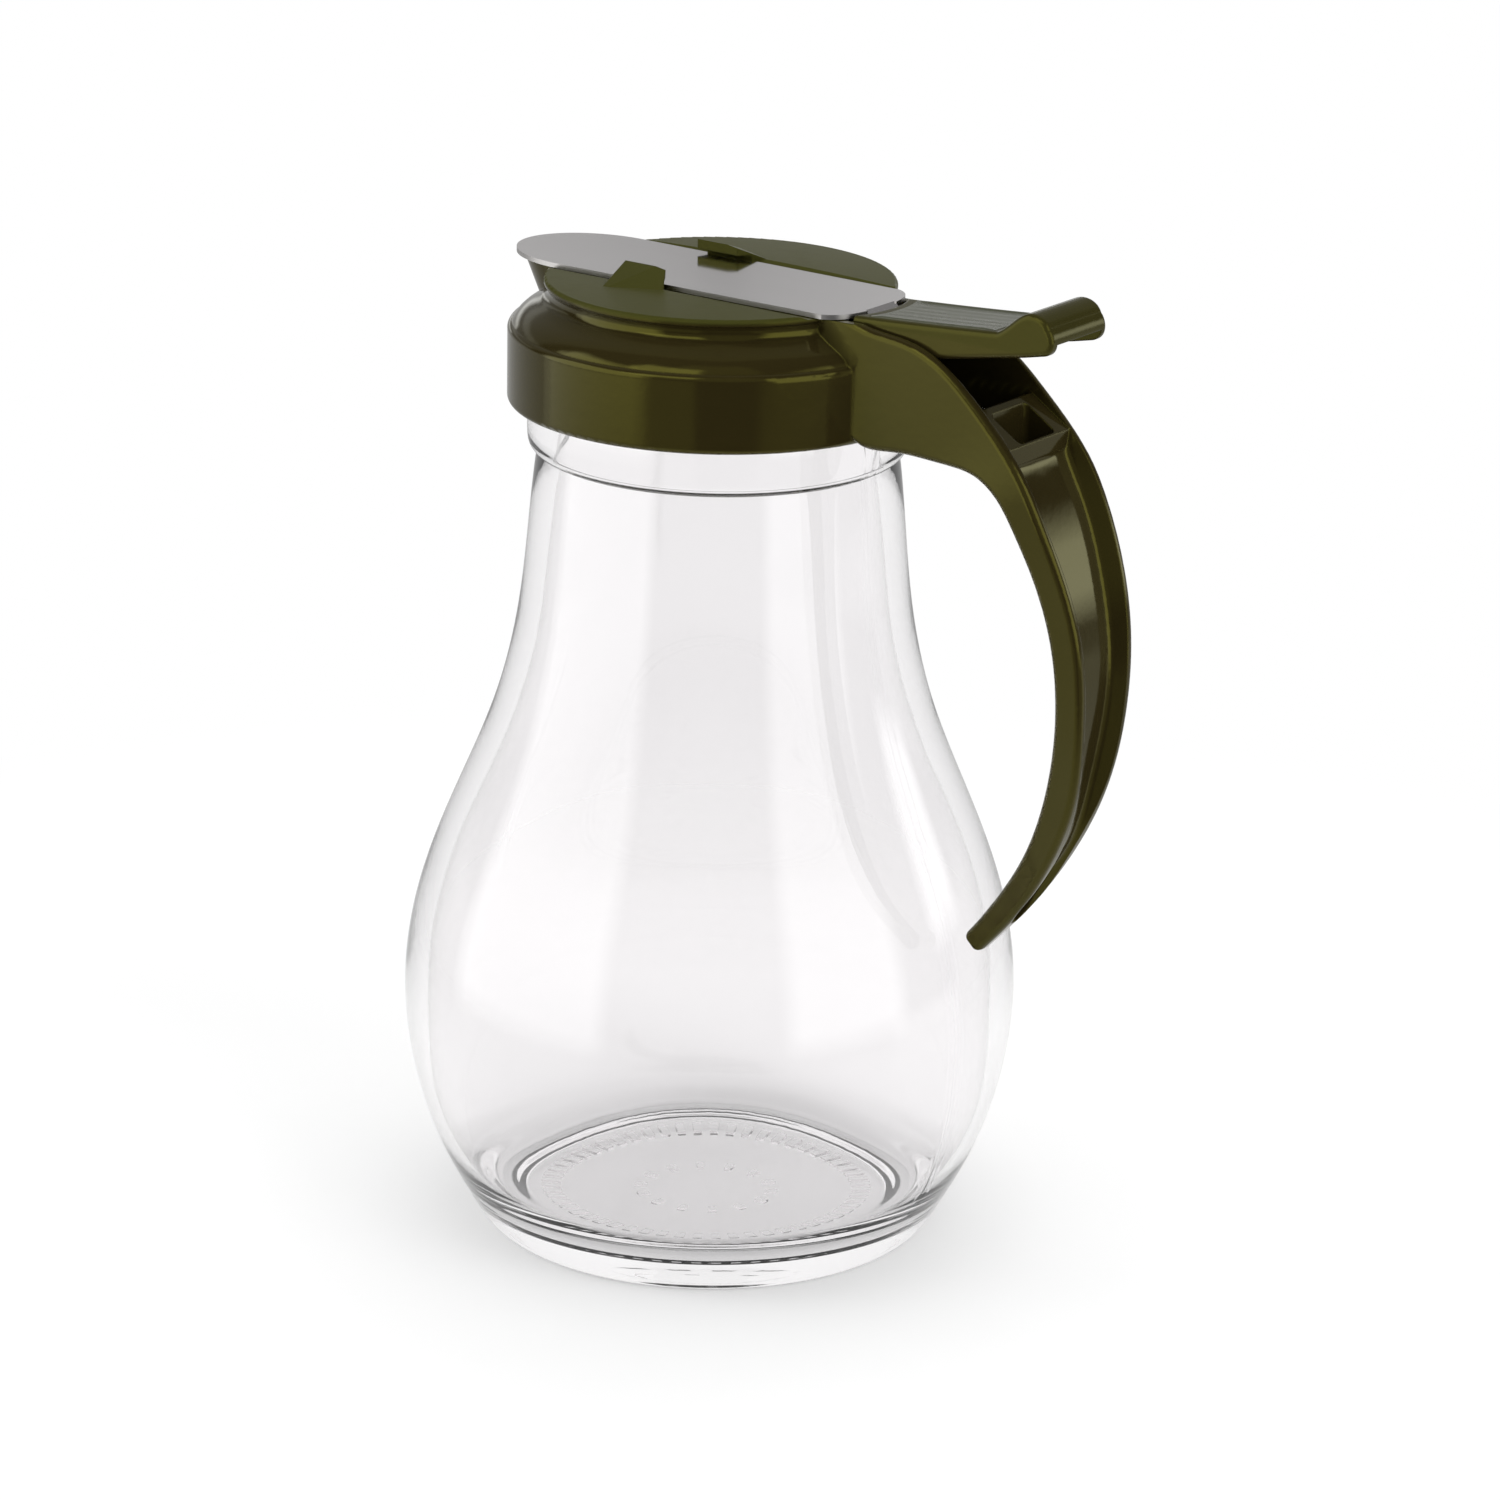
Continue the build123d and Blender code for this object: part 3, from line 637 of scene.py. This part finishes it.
def studio_walls():
    """Soft panels and dark gaps round the object, which only its gloss shows."""
    bm = bmesh.new()
    bmesh.ops.create_uvsphere(bm, u_segments=48, v_segments=24, radius=WALLS_RADIUS)
    walls = in_scene("studio_walls", as_mesh("studio_walls", bm, wall_paint()))
    walls.rotation_euler = (0, 0, math.radians(VIEW_AZIMUTH))
    walls.visible_camera = walls.visible_diffuse = walls.visible_transmission = False
    walls.visible_volume_scatter = walls.visible_shadow = False


def floor_paint():
    """Pale paint that turns into the room's white away from the object, where no gloss shows it."""
    f = Finish("pale_floor")
    paint = f.node("ShaderNodeBsdfDiffuse", {}, {"Color": grey(FLOOR_PAINT)})
    near = f.node("ShaderNodeAddShader", {}, {0: paint, 1: f.glow(FLOOR_LIFT * f.looked_at())})
    far = f.mixed(f.light_path("Is Glossy Ray"), f.glow(1.0), f.clear(1.0))
    return f.finish(f.mixed(f.ramp(f.length(f.place), *FLOOR_FADE), near, far))


def pale_floor():
    """Pale floor that fades into the white room away from the object."""
    bm = bmesh.new()
    bmesh.ops.create_circle(bm, cap_ends=True, segments=96, radius=FLOOR_RADIUS)
    floor = in_scene("floor", as_mesh("floor", bm, floor_paint()))


def dress_cad(finishes):
    """Gives each CAD node its finish."""
    for name, material in finishes.items():
        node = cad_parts[name]
        node.data.materials.clear()
        node.data.materials.append(material)


def main():
    olive = olive_plastic()
    wire = spring_steel()
    glass = pressed_glass()
    dress_cad({
        "cap_body": olive,
        "thumb_lever": olive,
        "cutoff_slide": bright_steel(),
        "return_spring": wire,
        "sealing_ring": seal_rubber(),
        "glass_jar": glass,
    })
    jar_glass(glass)
    screw_ridge("jar_thread", *JAR_THREAD, glass, "jar", "clear_glass")
    screw_ridge("cap_thread", *CAP_THREAD, olive, "cap", "olive_plastic")
    spring_coil(wire)
    lever_ribs(sheen_painted_olive())
    camera()
    room()
    studio_walls()
    pale_floor()
    for name, settings in LAMPS.items():
        soft_lamp(name, *settings)


main()
bpy.context.scene.view_settings.view_transform = "Standard"
